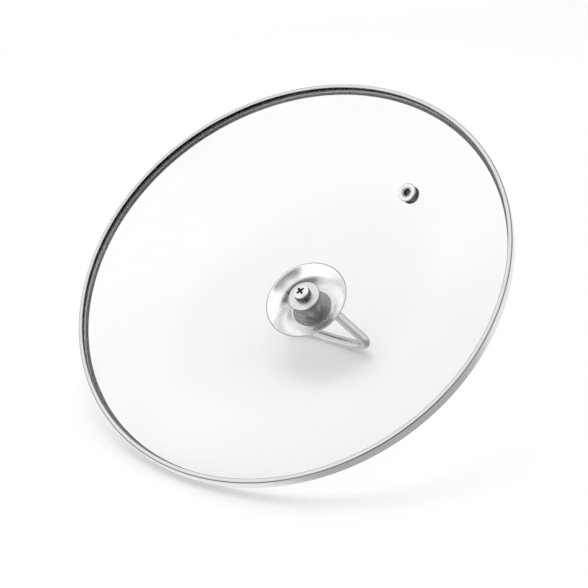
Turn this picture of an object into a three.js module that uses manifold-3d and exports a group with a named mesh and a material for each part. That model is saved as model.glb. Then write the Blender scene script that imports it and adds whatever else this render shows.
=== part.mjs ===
// Domed glass saucepan lid with a steel rim band, a steam vent eyelet and a bent-rod loop handle.
// Millimetres, +Z up through the handle. The origin is the centre of the face that rests on the pan.
import * as THREE from 'three';
import { mergeVertices } from 'three/addons/utils/BufferGeometryUtils.js';
import Module from 'manifold-3d';

const wasm = await Module();
wasm.setup();

// Gap left between pieces that touch on the real lid.
const CLEARANCE = 0.3;

// Glass dome
const LID_DIAMETER = 265; // over the rim band
const DOME_HEIGHT = 34; // pan seat to the underside of the glass, at the centre
const GLASS_THICKNESS = 4;
const GLASS_EDGE_RADIUS = 0.9; // ground corners of the glass edge
const CENTRE_HOLE_DIAMETER = 9;
const VENT_HOLE_DIAMETER = 8.4;

// Rim band, one strip rolled into a C round the edge of the glass
const BAND_SHEET = 0.7;
const SEAT_WIDTH = 2.6; // lower flange, which rests on the pan
const BAND_TOP_WIDTH = 3.2; // upper flange, over the glass
const SEAT_CORNER_RADIUS = 0.9; // outer bend at the seat
const SHOULDER_RADIUS = 1.4; // outer bend at the top
const HEM_RADIUS = 0.2; // deburred edges of the strip

// Screw and what it clamps, under the glass
const SCREW_DIAMETER = 4.9;
const SCREW_REACH = 6.5; // thread held in the boss
const SCREW_POINT = 0.6; // chamfer at the end of the thread
const HEAD_DIAMETER = 9.2;
const HEAD_HEIGHT = 3.7;
const HEAD_ROUND = 1.3; // rounded shoulder of the pan head
const RECESS_SPAN = 4.9; // across the cross recess
const RECESS_SLOT = 1.15;
const RECESS_DEPTH = 1.7;
const RECESS_POINT_DEPTH = 2.7;
const RECESS_TURN = THREE.MathUtils.degToRad(32); // where the screw stopped when it was tightened
const SPRING_WASHER_DIAMETER = 10;
const SPRING_WASHER_THICKNESS = 1.2;
const SPRING_WASHER_SPLIT = 0.09; // half angle of the split, radians
const CUP_WASHER_DIAMETER = 19.6;
const CUP_WASHER_SHEET = 0.8;
const CUP_WASHER_LIP = 1.9; // height of the turned-up edge
const CUP_WASHER_ROUND = 1.4;
const GASKET_DIAMETER = 17;
const OUTER_GASKET_DIAMETER = 14;
const GASKET_THICKNESS = 1.6;
const GASKET_ROUND = 0.4;

// Dish, boss and loop, above the glass
const DISH_DIAMETER = 51.2;
const DISH_DEPTH = 11; // inside, from the glass side of its edge
const DISH_SHEET = 0.8;
const DISH_FLOOR_DIAMETER = 25.6;
const DISH_FLOOR_ROUND = 1.2; // inside bend between the wall and the floor
const DISH_WALL_BOW = THREE.MathUtils.degToRad(9.5); // half the wall's bend, steeper at the floor
const BOSS_DIAMETER = 7.8;
const BOSS_FLANGE_DIAMETER = 9.6;
const BOSS_FLANGE_THICKNESS = 1.4;
const BOSS_ROUND = 0.5;
const ROD_DIAMETER = 6;
const LOOP_HEIGHT = 49.4; // glass to the middle of the rod, at the top of the loop
const BAR_RADIUS = 76; // bow of the top bar
const BEND_RADIUS = 10.2; // corners of the loop, at the middle of the rod
const FOOT_SPACING = 31.8; // between the legs at the foot of the dish wall, at the middle of the rod
const LEG_FLARE = THREE.MathUtils.degToRad(20.7); // legs lean outwards

// Steam vent
const VENT_RADIUS = 85.8; // from the middle of the lid
const VENT_AZIMUTH = THREE.MathUtils.degToRad(-63.8);
const EYELET_BORE = 4.2;
const EYELET_WALL = 0.8;
const EYELET_FLANGE_DIAMETER = 11.4;
const EYELET_FLANGE_THICKNESS = 1.1;
const EYELET_RECESS_DIAMETER = 6.8;
const EYELET_RECESS_DEPTH = 0.5;
const EYELET_ROLL_DIAMETER = 8.6;
const EYELET_ROLL_THICKNESS = 0.8;
const GROMMET_DIAMETER = 10.8;
const GROMMET_LIP = 0.9;
const COLLAR_DIAMETER = 10.2;
const COLLAR_THICKNESS = 0.7;

// Facets
const LID_SEGMENTS = 72;
const HUB_SEGMENTS = 36;
const VENT_SEGMENTS = 20;
const DOME_STEPS = 8;
const DISH_STEPS = 8;
const FILLET_STEPS = 2;
const ROD_SIDES = 12;
const LOOP_STEPS = 60;

const polishedSteel = new THREE.MeshStandardMaterial({ color: 0xd6d8d9, roughness: 0.14, metalness: 1 });
const rolledSteel = new THREE.MeshStandardMaterial({ color: 0xc9cbcc, roughness: 0.24, metalness: 1 });
const screwSteel = new THREE.MeshStandardMaterial({ color: 0xd2d2d0, roughness: 0.2, metalness: 1 });
const silicone = new THREE.MeshStandardMaterial({ color: 0x2b2b2c, roughness: 0.6, metalness: 0 });
const clearGlass = new THREE.MeshStandardMaterial({
  color: 0xf3f6f6,
  roughness: 0.03,
  metalness: 0,
  transparent: true,
  opacity: 0.25,
});

const lid = new THREE.Group();

function addPiece(name, geometry, material, parent = lid) {
  const mesh = new THREE.Mesh(geometry, material);
  mesh.name = name;
  parent.add(mesh);
  return mesh;
}

// ---- Outlines: points in the (radius, height) plane, counter-clockwise ----

// Rounds each corner that names a radius. A corner is [radius from axis, height, fillet].
function outline(corners, closed = true) {
  const points = [];
  const count = corners.length;
  corners.forEach(([x, y, fillet = 0], index) => {
    const isEnd = !closed && (index === 0 || index === count - 1);
    if (fillet === 0 || isEnd) {
      points.push(new THREE.Vector2(x, y));
      return;
    }
    const corner = new THREE.Vector2(x, y);
    const [beforeX, beforeY] = corners[(index + count - 1) % count];
    const [afterX, afterY] = corners[(index + 1) % count];
    const back = new THREE.Vector2(beforeX, beforeY).sub(corner).normalize();
    const ahead = new THREE.Vector2(afterX, afterY).sub(corner).normalize();
    const halfAngle = Math.acos(THREE.MathUtils.clamp(back.dot(ahead), -1, 1)) / 2;
    const middle = back.clone().add(ahead).normalize();
    const centre = corner.clone().addScaledVector(middle, fillet / Math.sin(halfAngle));
    const reach = fillet / Math.tan(halfAngle);
    const start = corner.clone().addScaledVector(back, reach).sub(centre);
    const end = corner.clone().addScaledVector(ahead, reach).sub(centre);
    const from = start.angle();
    let sweep = end.angle() - from;
    if (sweep > Math.PI) sweep -= 2 * Math.PI;
    if (sweep < -Math.PI) sweep += 2 * Math.PI;
    for (let step = 0; step <= FILLET_STEPS; step += 1) {
      const angle = from + (sweep * step) / FILLET_STEPS;
      points.push(new THREE.Vector2(fillet * Math.cos(angle), fillet * Math.sin(angle)).add(centre));
    }
  });
  if (closed) points.push(points[0].clone());
  return points;
}

// ---- Solids ----

// Merges shared vertices and drops the empty triangles at the axis.
function cleaned(geometry) {
  const bare = geometry.clone();
  bare.deleteAttribute('normal');
  bare.deleteAttribute('uv');
  const merged = mergeVertices(bare, 1e-4);
  const index = merged.getIndex().array;
  const kept = [];
  for (let i = 0; i < index.length; i += 3) {
    const [a, b, c] = [index[i], index[i + 1], index[i + 2]];
    if (a !== b && b !== c && c !== a) kept.push(a, b, c);
  }
  merged.setIndex(kept);
  merged.computeVertexNormals();
  return merged;
}

// Turns an outline about the Z axis.
function turned(points, segments) {
  const geometry = new THREE.LatheGeometry(points, segments);
  geometry.rotateX(Math.PI / 2);
  return cleaned(geometry);
}

function cylinder(diameter, bottom, top, segments) {
  const radius = diameter / 2;
  return turned(outline([[0, bottom], [radius, bottom], [radius, top], [0, top]], false), segments);
}

// A flat or flanged ring, from corners given all the way round its section.
function ring(corners, segments) {
  return turned(outline(corners), segments);
}

function toSolid(geometry) {
  const mesh = cleaned(geometry);
  const vertProperties = Float32Array.from(mesh.getAttribute('position').array);
  const triVerts = Uint32Array.from(mesh.getIndex().array);
  return new wasm.Manifold(new wasm.Mesh({ numProp: 3, vertProperties, triVerts }));
}

function toGeometry(solid) {
  const { vertProperties, triVerts } = solid.getMesh();
  const geometry = new THREE.BufferGeometry();
  geometry.setAttribute('position', new THREE.BufferAttribute(Float32Array.from(vertProperties), 3));
  geometry.setIndex(new THREE.BufferAttribute(Uint32Array.from(triVerts), 1));
  geometry.computeVertexNormals();
  return geometry;
}

function cut(geometry, ...tools) {
  return toGeometry(tools.reduce((solid, tool) => solid.subtract(toSolid(tool)), toSolid(geometry)));
}

// ---- Glass dome: two concentric spheres, cut off square and ground round at the edge ----

const bandRadius = LID_DIAMETER / 2;
const glassRadius = bandRadius - BAND_SHEET - CLEARANCE;
const glassEdgeHeight = BAND_SHEET + CLEARANCE;
const domeRise = DOME_HEIGHT - glassEdgeHeight;
const innerSphere = (glassRadius ** 2 + domeRise ** 2) / (2 * domeRise);
const outerSphere = innerSphere + GLASS_THICKNESS;
const sphereHeight = DOME_HEIGHT - innerSphere;

function domeHeight(radius, sphere) {
  return sphereHeight + Math.sqrt(sphere ** 2 - radius ** 2);
}

function glassUnderside(radius) {
  return domeHeight(radius, innerSphere);
}

function glassTop(radius) {
  return domeHeight(radius, outerSphere);
}

function domeArc(sphere) {
  const edgeAngle = Math.asin(glassRadius / sphere);
  return Array.from({ length: DOME_STEPS }, (_, step) => {
    const angle = (edgeAngle * step) / DOME_STEPS;
    return [sphere * Math.sin(angle), sphereHeight + sphere * Math.cos(angle)];
  });
}

const glassOutline = outline([
  ...domeArc(innerSphere),
  [glassRadius, glassUnderside(glassRadius), GLASS_EDGE_RADIUS],
  [glassRadius, glassTop(glassRadius), GLASS_EDGE_RADIUS],
  ...domeArc(outerSphere).reverse(),
], false);

// The vent stands square to the glass. Its own heights start at the underside of the glass.
const ventGroup = new THREE.Group();
const ventTilt = Math.asin(VENT_RADIUS / innerSphere);
const ventNormal = new THREE.Vector3(
  Math.sin(ventTilt) * Math.cos(VENT_AZIMUTH),
  Math.sin(ventTilt) * Math.sin(VENT_AZIMUTH),
  Math.cos(ventTilt),
);
ventGroup.position.set(0, 0, sphereHeight).addScaledVector(ventNormal, innerSphere);
ventGroup.quaternion.setFromUnitVectors(new THREE.Vector3(0, 0, 1), ventNormal);
ventGroup.updateMatrix();
lid.add(ventGroup);

const HOLE_OVERRUN = 3;
const centreHole = cylinder(
  CENTRE_HOLE_DIAMETER,
  DOME_HEIGHT - HOLE_OVERRUN,
  DOME_HEIGHT + GLASS_THICKNESS + HOLE_OVERRUN,
  HUB_SEGMENTS,
);
const ventHole = cylinder(
  VENT_HOLE_DIAMETER,
  -HOLE_OVERRUN,
  GLASS_THICKNESS + HOLE_OVERRUN,
  VENT_SEGMENTS,
).applyMatrix4(ventGroup.matrix);
addPiece('glass_pane', cut(turned(glassOutline, LID_SEGMENTS), centreHole, ventHole), clearGlass);

// ---- Rim band: its upper flange is as high as the glass under it needs ----

const bandHeight = glassTop(bandRadius - BAND_TOP_WIDTH) + CLEARANCE + BAND_SHEET;
addPiece('rim_band', ring([
  [bandRadius - SEAT_WIDTH, 0, HEM_RADIUS],
  [bandRadius, 0, SEAT_CORNER_RADIUS],
  [bandRadius, bandHeight, SHOULDER_RADIUS],
  [bandRadius - BAND_TOP_WIDTH, bandHeight, HEM_RADIUS],
  [bandRadius - BAND_TOP_WIDTH, bandHeight - BAND_SHEET, HEM_RADIUS],
  [bandRadius - BAND_SHEET, bandHeight - BAND_SHEET, SHOULDER_RADIUS - BAND_SHEET],
  [bandRadius - BAND_SHEET, BAND_SHEET, SEAT_CORNER_RADIUS - BAND_SHEET],
  [bandRadius - SEAT_WIDTH, BAND_SHEET, HEM_RADIUS],
], LID_SEGMENTS), rolledSteel);

// ---- Under the glass: gasket, cup washer, spring washer and screw, downwards ----

const boreRadius = SCREW_DIAMETER / 2 + CLEARANCE;
const gasketRadius = GASKET_DIAMETER / 2;
const sleeveRadius = CENTRE_HOLE_DIAMETER / 2 - CLEARANCE;
const innerGasketTop = glassUnderside(gasketRadius) - CLEARANCE;
const innerGasketBottom = innerGasketTop - GASKET_THICKNESS;
addPiece('inner_gasket', ring([
  [boreRadius, innerGasketBottom],
  [gasketRadius, innerGasketBottom, GASKET_ROUND],
  [gasketRadius, innerGasketTop, GASKET_ROUND],
  [sleeveRadius, innerGasketTop],
  [sleeveRadius, glassTop(sleeveRadius) - CLEARANCE],
  [boreRadius, glassTop(sleeveRadius) - CLEARANCE],
], HUB_SEGMENTS), silicone);

const cupRadius = CUP_WASHER_DIAMETER / 2;
const cupFloor = innerGasketBottom - CLEARANCE;
const cupFace = cupFloor - CUP_WASHER_SHEET;
const cupLip = cupFace + CUP_WASHER_LIP;
addPiece('cup_washer', ring([
  [boreRadius, cupFace],
  [cupRadius, cupFace, CUP_WASHER_ROUND],
  [cupRadius, cupLip, HEM_RADIUS],
  [cupRadius - CUP_WASHER_SHEET, cupLip, HEM_RADIUS],
  [cupRadius - CUP_WASHER_SHEET, cupFloor, Math.max(CUP_WASHER_ROUND - CUP_WASHER_SHEET, HEM_RADIUS)],
  [boreRadius, cupFloor],
], HUB_SEGMENTS), screwSteel);

// A split ring, cut on a slant.
function splitRing(outerRadius, innerRadius, splitHalfAngle) {
  const shape = new THREE.Shape();
  const slant = splitHalfAngle;
  shape.absarc(0, 0, outerRadius, splitHalfAngle + slant, 2 * Math.PI - splitHalfAngle + slant, false);
  shape.absarc(0, 0, innerRadius, 2 * Math.PI - splitHalfAngle - slant, splitHalfAngle - slant, true);
  return shape;
}

const springTop = cupFace - CLEARANCE;
const springBottom = springTop - SPRING_WASHER_THICKNESS;
const springWasher = new THREE.ExtrudeGeometry(
  splitRing(SPRING_WASHER_DIAMETER / 2, boreRadius, SPRING_WASHER_SPLIT),
  { depth: SPRING_WASHER_THICKNESS, bevelEnabled: false, curveSegments: HUB_SEGMENTS / 2 },
).translate(0, 0, springBottom);
addPiece('spring_washer', cleaned(springWasher), screwSteel);

// ---- Above the glass: outer gasket, boss and dish, upwards ----

const outerGasketBottom = glassTop(0) + CLEARANCE;
const outerGasketTop = outerGasketBottom + GASKET_THICKNESS;
addPiece('outer_gasket', ring([
  [boreRadius, outerGasketBottom],
  [OUTER_GASKET_DIAMETER / 2, outerGasketBottom, GASKET_ROUND],
  [OUTER_GASKET_DIAMETER / 2, outerGasketTop, GASKET_ROUND],
  [boreRadius, outerGasketTop],
], HUB_SEGMENTS), silicone);

const dishRadius = DISH_DIAMETER / 2;
const dishFloorRadius = DISH_FLOOR_DIAMETER / 2;
const dishEdge = glassTop(dishRadius) + CLEARANCE;
const dishInside = dishEdge + DISH_DEPTH;
const bossTop = dishInside - CLEARANCE;
const bossBottom = outerGasketTop + CLEARANCE;
addPiece('dish_boss', ring([
  [boreRadius, bossBottom],
  [BOSS_DIAMETER / 2, bossBottom, BOSS_ROUND],
  [BOSS_DIAMETER / 2, bossTop - BOSS_FLANGE_THICKNESS, BOSS_ROUND],
  [BOSS_FLANGE_DIAMETER / 2, bossTop - BOSS_FLANGE_THICKNESS, BOSS_ROUND],
  [BOSS_FLANGE_DIAMETER / 2, bossTop],
  [boreRadius, bossTop],
], HUB_SEGMENTS), screwSteel);

// The inside of the wall is an arc from its edge on the glass to the flat floor.
const wallInset = dishRadius - DISH_SHEET - dishFloorRadius;
const wallSlope = Math.atan2(DISH_DEPTH, wallInset);
const wallArcRadius = Math.hypot(DISH_DEPTH, wallInset) / (2 * Math.sin(DISH_WALL_BOW));
const edgeSlope = wallSlope - DISH_WALL_BOW;
const floorSlope = wallSlope + DISH_WALL_BOW;

function wallOutwards(slope) {
  return new THREE.Vector2(Math.sin(slope), Math.cos(slope));
}

const wallCentre = new THREE.Vector2(dishRadius - DISH_SHEET, dishEdge)
  .addScaledVector(wallOutwards(edgeSlope), wallArcRadius);

// Wall and floor moved outwards, square to themselves, as corners from the edge to the axis.
function dishShell(distance) {
  const wall = Array.from({ length: DISH_STEPS }, (_, step) => {
    const slope = edgeSlope + (2 * DISH_WALL_BOW * step) / DISH_STEPS;
    return wallCentre.clone().addScaledVector(wallOutwards(slope), distance - wallArcRadius).toArray();
  });
  const height = dishInside + distance;
  const cornerRadius = dishFloorRadius + distance * Math.tan(floorSlope / 2);
  return [...wall, [cornerRadius, height, DISH_FLOOR_ROUND + distance], [0, height]];
}

const dishOutline = outline([
  ...dishShell(0).reverse(),
  [dishRadius, dishEdge],
  ...dishShell(DISH_SHEET),
], false);
addPiece('handle_dish', turned(dishOutline, HUB_SEGMENTS), polishedSteel);

// ---- Screw: the head is under the glass, the thread ends in the boss ----

const headBase = springBottom - CLEARANCE;
const headFace = headBase - HEAD_HEIGHT;
const threadEnd = Math.min(bossBottom + SCREW_REACH, bossTop - CLEARANCE);
const screwBody = turned(outline([
  [0, headFace],
  [HEAD_DIAMETER / 2, headFace, HEAD_ROUND],
  [HEAD_DIAMETER / 2, headBase, HEM_RADIUS],
  [SCREW_DIAMETER / 2, headBase],
  [SCREW_DIAMETER / 2, threadEnd - SCREW_POINT],
  [SCREW_DIAMETER / 2 - SCREW_POINT, threadEnd],
  [0, threadEnd],
], false), HUB_SEGMENTS);

const RECESS_OVERRUN = 1;
const slotHeight = RECESS_DEPTH + RECESS_OVERRUN;
const slotMiddle = headFace - RECESS_OVERRUN + slotHeight / 2;
const slotAlong = new THREE.BoxGeometry(RECESS_SPAN, RECESS_SLOT, slotHeight);
const slotAcross = new THREE.BoxGeometry(RECESS_SLOT, RECESS_SPAN, slotHeight);
slotAlong.rotateZ(RECESS_TURN).translate(0, 0, slotMiddle);
slotAcross.rotateZ(RECESS_TURN).translate(0, 0, slotMiddle);
const recessPoint = turned([
  new THREE.Vector2(0, headFace - RECESS_OVERRUN),
  new THREE.Vector2(RECESS_SLOT * 1.2, headFace - RECESS_OVERRUN),
  new THREE.Vector2(RECESS_SLOT * 0.9, headFace + RECESS_DEPTH),
  new THREE.Vector2(0, headFace + RECESS_POINT_DEPTH),
], 8);
addPiece('handle_screw', cut(screwBody, slotAlong, slotAcross, recessPoint), screwSteel);

// ---- Loop: one rod bent in the XZ plane, its feet shaped to the dish ----

// Middle line of the rod by length along it: top bar, corner and leg, the same on both sides.
class LoopLine extends THREE.Curve {
  constructor(foot, top) {
    super();
    const barCentre = new THREE.Vector2(0, top - BAR_RADIUS);
    const upLeg = new THREE.Vector2(Math.sin(LEG_FLARE), Math.cos(LEG_FLARE));
    const inwards = new THREE.Vector2(-upLeg.y, upLeg.x);
    // The corner touches the leg and the inside of the bar's circle.
    const fromBar = foot.clone().addScaledVector(inwards, BEND_RADIUS).sub(barCentre);
    const along = fromBar.dot(upLeg);
    const reach = BAR_RADIUS - BEND_RADIUS;
    const legLength = -along + Math.sqrt(along ** 2 - fromBar.lengthSq() + reach ** 2);
    const bendCentre = foot.clone().addScaledVector(inwards, BEND_RADIUS).addScaledVector(upLeg, legLength);
    const barEnd = bendCentre.clone().sub(barCentre);
    this.barCentre = barCentre;
    this.bendCentre = bendCentre;
    this.upLeg = upLeg;
    this.barAngle = Math.atan2(barEnd.x, barEnd.y);
    this.bendAngle = Math.PI / 2 + LEG_FLARE - this.barAngle;
    this.legStart = bendCentre.clone().addScaledVector(inwards, -BEND_RADIUS);
    this.barLength = this.barAngle * BAR_RADIUS;
    this.bendLength = this.bendAngle * BEND_RADIUS;
    this.halfLength = this.barLength + this.bendLength + legLength;
  }

  getPoint(t, target = new THREE.Vector3()) {
    const signed = (2 * t - 1) * this.halfLength;
    const length = Math.abs(signed);
    const side = Math.sign(signed) || 1;
    const point = new THREE.Vector2();
    if (length <= this.barLength) {
      const angle = length / BAR_RADIUS;
      point.set(Math.sin(angle), Math.cos(angle)).multiplyScalar(BAR_RADIUS).add(this.barCentre);
    } else if (length <= this.barLength + this.bendLength) {
      const angle = this.barAngle + (length - this.barLength) / BEND_RADIUS;
      point.set(Math.sin(angle), Math.cos(angle)).multiplyScalar(BEND_RADIUS).add(this.bendCentre);
    } else {
      point.copy(this.legStart).addScaledVector(this.upLeg, this.barLength + this.bendLength - length);
    }
    return target.set(side * point.x, 0, point.y);
  }
}

const rodRadius = ROD_DIAMETER / 2;
const footHeight = dishEdge + DISH_DEPTH / 3;
const foot = new THREE.Vector2(FOOT_SPACING / 2, footHeight);
const loopLine = new LoopLine(foot, glassTop(0) + LOOP_HEIGHT);
const rodSection = new THREE.Shape(Array.from({ length: ROD_SIDES }, (_, side) => {
  const angle = (2 * Math.PI * side) / ROD_SIDES;
  return new THREE.Vector2(rodRadius * Math.cos(angle), rodRadius * Math.sin(angle));
}));
const rod = new THREE.ExtrudeGeometry(rodSection, {
  steps: LOOP_STEPS,
  extrudePath: loopLine,
  bevelEnabled: false,
});

// Everything below the top of the dish, with the gap, is kept clear of the rod.
const dishKeepOut = turned(outline([
  [0, dishEdge - rodRadius],
  [dishRadius + rodRadius, dishEdge - rodRadius],
  ...dishShell(DISH_SHEET + CLEARANCE),
], false), HUB_SEGMENTS);
addPiece('handle_loop', cut(rod, dishKeepOut), polishedSteel);

// ---- Steam vent: an eyelet through a silicone grommet, rolled over a collar on top ----

const barrelRadius = EYELET_BORE / 2 + EYELET_WALL;
const underGap = CLEARANCE + glassTop(0) - glassTop(GROMMET_DIAMETER / 2);
const grommetTop = GLASS_THICKNESS + CLEARANCE + GROMMET_LIP;
const grommetBottom = -underGap - GROMMET_LIP;
addPiece('vent_grommet', ring([
  [barrelRadius + CLEARANCE, grommetBottom],
  [GROMMET_DIAMETER / 2, grommetBottom, HEM_RADIUS],
  [GROMMET_DIAMETER / 2, -underGap, HEM_RADIUS],
  [VENT_HOLE_DIAMETER / 2 - CLEARANCE, -underGap],
  [VENT_HOLE_DIAMETER / 2 - CLEARANCE, GLASS_THICKNESS + CLEARANCE],
  [GROMMET_DIAMETER / 2, GLASS_THICKNESS + CLEARANCE, HEM_RADIUS],
  [GROMMET_DIAMETER / 2, grommetTop, HEM_RADIUS],
  [barrelRadius + CLEARANCE, grommetTop],
], VENT_SEGMENTS), silicone, ventGroup);

const collarBottom = grommetTop + CLEARANCE;
const collarTop = collarBottom + COLLAR_THICKNESS;
addPiece('vent_collar', ring([
  [barrelRadius + CLEARANCE, collarBottom],
  [COLLAR_DIAMETER / 2, collarBottom, HEM_RADIUS],
  [COLLAR_DIAMETER / 2, collarTop, HEM_RADIUS],
  [barrelRadius + CLEARANCE, collarTop],
], VENT_SEGMENTS), rolledSteel, ventGroup);

const flangeTop = grommetBottom - CLEARANCE;
const flangeFace = flangeTop - EYELET_FLANGE_THICKNESS;
const recessFloor = flangeFace + EYELET_RECESS_DEPTH;
const rollBottom = collarTop + CLEARANCE;
const rollTop = rollBottom + EYELET_ROLL_THICKNESS;
addPiece('vent_eyelet', ring([
  [EYELET_BORE / 2, recessFloor, HEM_RADIUS],
  [EYELET_RECESS_DIAMETER / 2, recessFloor],
  [EYELET_RECESS_DIAMETER / 2, flangeFace, HEM_RADIUS],
  [EYELET_FLANGE_DIAMETER / 2, flangeFace, EYELET_FLANGE_THICKNESS / 2],
  [EYELET_FLANGE_DIAMETER / 2, flangeTop, HEM_RADIUS],
  [barrelRadius, flangeTop],
  [barrelRadius, rollBottom],
  [EYELET_ROLL_DIAMETER / 2, rollBottom, HEM_RADIUS],
  [EYELET_ROLL_DIAMETER / 2, rollTop, EYELET_ROLL_THICKNESS / 2],
  [EYELET_BORE / 2, rollTop, HEM_RADIUS],
], VENT_SEGMENTS), rolledSteel, ventGroup);

export default lid;
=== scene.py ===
# Domed glass saucepan lid with a rolled steel rim, a steam eyelet and a bent-rod loop on a polished dish.
# Metres, +Z up through the loop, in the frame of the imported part. The lid leans on its loop and on one
# point of its rim, and is seen from the pan side.
import math

import bmesh
import bpy
from mathutils import Matrix, Vector


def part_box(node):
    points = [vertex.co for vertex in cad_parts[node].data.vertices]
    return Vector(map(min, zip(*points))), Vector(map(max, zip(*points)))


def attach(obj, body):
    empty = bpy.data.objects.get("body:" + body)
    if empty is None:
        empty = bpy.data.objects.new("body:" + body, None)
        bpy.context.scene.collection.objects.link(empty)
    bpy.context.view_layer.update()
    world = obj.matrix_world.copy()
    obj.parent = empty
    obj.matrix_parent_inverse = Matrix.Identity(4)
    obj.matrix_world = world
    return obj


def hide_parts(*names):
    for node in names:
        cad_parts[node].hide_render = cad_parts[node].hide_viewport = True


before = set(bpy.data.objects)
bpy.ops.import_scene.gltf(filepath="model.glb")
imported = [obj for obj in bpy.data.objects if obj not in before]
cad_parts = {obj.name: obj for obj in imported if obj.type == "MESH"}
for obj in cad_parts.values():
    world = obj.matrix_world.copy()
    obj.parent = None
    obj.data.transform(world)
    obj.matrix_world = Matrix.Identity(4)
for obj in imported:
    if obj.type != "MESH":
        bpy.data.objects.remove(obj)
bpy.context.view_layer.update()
bpy.context.scene.view_settings.view_transform = "Standard"
MM = 0.001


# ---- Camera ----
# A long lens looks up into the underside of the lid, 52 degrees off the plane of its rim, and is rolled
# so that the loop hangs towards the lower right of the picture.
CAMERA_AIM = Vector((0.8, 5.3, 20.0)) * MM
CAMERA_DISTANCE = 817.3 * MM
CAMERA_AZIMUTH = math.radians(32.4)
CAMERA_ELEVATION = math.radians(-52.47)
CAMERA_ROLL = math.radians(-145.02)
CAMERA_LENS = 85.7  # millimetres, on a 36 mm wide sensor


def direction(azimuth, elevation):
    across = math.cos(elevation)
    return Vector((math.cos(azimuth) * across, math.sin(azimuth) * across, math.sin(elevation)))


camera_back = direction(CAMERA_AZIMUTH, CAMERA_ELEVATION)
level_up = (Vector((0, 0, 1)) - camera_back * camera_back.z).normalized()
level_right = level_up.cross(camera_back)
camera_up = level_up * math.cos(CAMERA_ROLL) + level_right * math.sin(CAMERA_ROLL)
camera_right = camera_up.cross(camera_back)

camera_data = bpy.data.cameras.new("camera")
camera_data.lens = CAMERA_LENS
camera_data.sensor_width = 36
camera = bpy.data.objects.new("camera", camera_data)
camera.matrix_world = Matrix.LocRotScale(
    CAMERA_AIM + camera_back * CAMERA_DISTANCE,
    Matrix((camera_right, camera_up, camera_back)).transposed(),
    None,
)
bpy.context.scene.collection.objects.link(camera)
bpy.context.scene.camera = camera


# ---- Floors ----
# Two pale sheets that only show from their upper side: the one the lid leans on, which touches the top
# of the loop and the shoulder of the rim, and the one it would rest on as on a pan.
FLOOR_REACH = 0.6
FLOOR_COLOUR = (0.9, 0.9, 0.9, 1)
loop_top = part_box("handle_loop")[1].z
rim_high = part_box("rim_band")[1]
LEAN = math.atan2(loop_top - rim_high.z, rim_high.y)
lean_normal = Vector((0, -math.sin(LEAN), -math.cos(LEAN)))


def tree_of(material):
    """The material's node tree, emptied, and its output node."""
    material.use_nodes = True
    tree = material.node_tree
    tree.nodes.clear()
    return tree, tree.nodes.new("ShaderNodeOutputMaterial")


def floor_material():
    """Shows from its upper side only, and is clear to light that has met the steel."""
    material = bpy.data.materials.new("pale_floor")
    tree, output = tree_of(material)
    paint = tree.nodes.new("ShaderNodeBsdfPrincipled")
    paint.inputs["Base Color"].default_value = FLOOR_COLOUR
    paint.inputs["Roughness"].default_value = 0.7
    paint.inputs["Specular IOR Level"].default_value = 0.2
    clear = tree.nodes.new("ShaderNodeBsdfTransparent")
    hidden = tree.nodes.new("ShaderNodeMath")
    hidden.operation = "MAXIMUM"
    hidden.use_clamp = True
    tree.links.new(tree.nodes.new("ShaderNodeNewGeometry").outputs["Backfacing"], hidden.inputs[0])
    tree.links.new(tree.nodes.new("ShaderNodeLightPath").outputs["Glossy Depth"], hidden.inputs[1])
    mix = tree.nodes.new("ShaderNodeMixShader")
    tree.links.new(hidden.outputs[0], mix.inputs[0])
    tree.links.new(paint.outputs[0], mix.inputs[1])
    tree.links.new(clear.outputs[0], mix.inputs[2])
    tree.links.new(mix.outputs[0], output.inputs["Surface"])
    return material


def floor_sheet(name, centre, normal, reach):
    mesh = bpy.data.meshes.new(name)
    along = normal.orthogonal().normalized() * reach
    across = normal.cross(along)
    sides = ((-1, -1), (1, -1), (1, 1), (-1, 1))
    corners = [centre + along * one + across * other for one, other in sides]
    mesh.from_pydata(corners, [], [(0, 1, 2, 3)])
    sheet = bpy.data.objects.new(name, mesh)
    bpy.context.scene.collection.objects.link(sheet)
    sheet.visible_shadow = False
    sheet.visible_diffuse = False
    return sheet


lean_floor = floor_sheet("lean_floor", Vector((0, 0, loop_top)), lean_normal, FLOOR_REACH)
rest_floor = floor_sheet("rest_floor", Vector((0, 0, 0)), Vector((0, 0, 1)), 4 * FLOOR_REACH)
pale_floor = floor_material()
for floor in (lean_floor, rest_floor):
    floor.data.materials.append(pale_floor)


# ---- Studio light ----
# A white room with dark gaps above and round the camera, which the polished steel mirrors, and one soft
# lamp over the floor that makes the shadows.
ROOM_WHITE = 1.0
MIRRORED_WHITE = 1.6
LAMP_SIZE = 0.7
LAMP_DISTANCE = 1.1
LAMP_POWER = 2.5
LAMP_LEFT = 0.2  # how far the lamp leans from square over the floor, as a share of its distance
LAMP_RAISED = 0.1
# Each lobe of light: its direction to the right, up and back as seen from the camera, the degrees from
# there where it is full and where it ends, and its light. The first are for the steel behind the glass,
# the others for what is in front of it.
BACK_LOBES = (
    ((0.0, 0.0, -1.0), 55, 95, 1.0),
    ((0.55, -0.79, -0.26), 24, 44, 0.6),
    ((-0.55, 0.79, 0.26), 14, 27, 0.26),
    ((-0.22, 0.06, 0.97), 8, 17, 0.26),
    ((-0.14, 0.20, 0.97), 10, 19, 0.24),
    ((0.04, 0.32, 0.95), 8, 19, 0.30),
    ((0.18, 0.40, 0.90), 7, 17, 0.36),
)
FRONT_LOBES = (
    ((0.14, -0.20, 0.97), 10, 30, 0.12),
    ((-0.53, 0.76, -0.38), 10, 28, 0.45),
    ((0.55, -0.79, -0.26), 24, 44, 0.5),
)


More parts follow.
